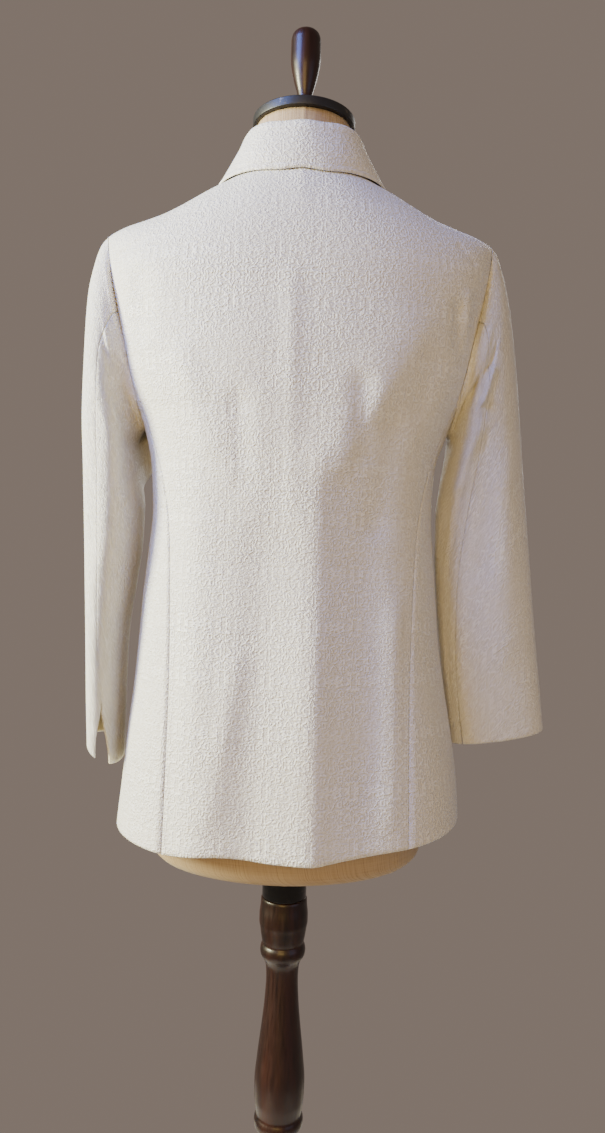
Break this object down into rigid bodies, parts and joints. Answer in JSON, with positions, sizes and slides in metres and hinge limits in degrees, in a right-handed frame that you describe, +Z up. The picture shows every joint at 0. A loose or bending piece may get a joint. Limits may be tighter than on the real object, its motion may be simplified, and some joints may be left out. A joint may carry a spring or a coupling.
{
  "type": "jacquard blazer on a limbless dress form with a turned wooden stand",
  "caption": "Hip-length jacquard blazer with notched lapels, a turned-down collar and long two-piece sleeves, worn by a limbless linen dress form on a turned wooden pole and foot.",
  "frame": {"origin": "centre of the foot's flat underside, on the floor, under the pole's axis", "axes": "+Z up, -Y to the garment's front, +X to the wearer's left"},
  "size_m": [0.5119, 0.34, 1.6263],
  "materials": {
    "cloth": "off-white jacquard with a soft sheen",
    "linen": "beige linen",
    "black_metal": "black, worn",
    "black_paint": "glossy black",
    "wood": "dark red-brown, polished"
  },
  "bodies": {
    "root": {"back": "cloth", "side_left": "cloth", "side_right": "cloth", "front_left": "cloth", "front_right": "cloth", "lapel_left": "cloth", "lapel_right": "cloth", "collar": "cloth", "sleeve_top_left": "cloth", "sleeve_under_left": "cloth", "sleeve_top_right": "cloth", "sleeve_under_right": "cloth", "button": "cloth", "form_torso": "linen", "form_neck_cap": "black_metal", "form_finial": "wood", "pole_collar": "black_paint", "pole": "wood", "base": "wood"}
  },
  "joints": []
}
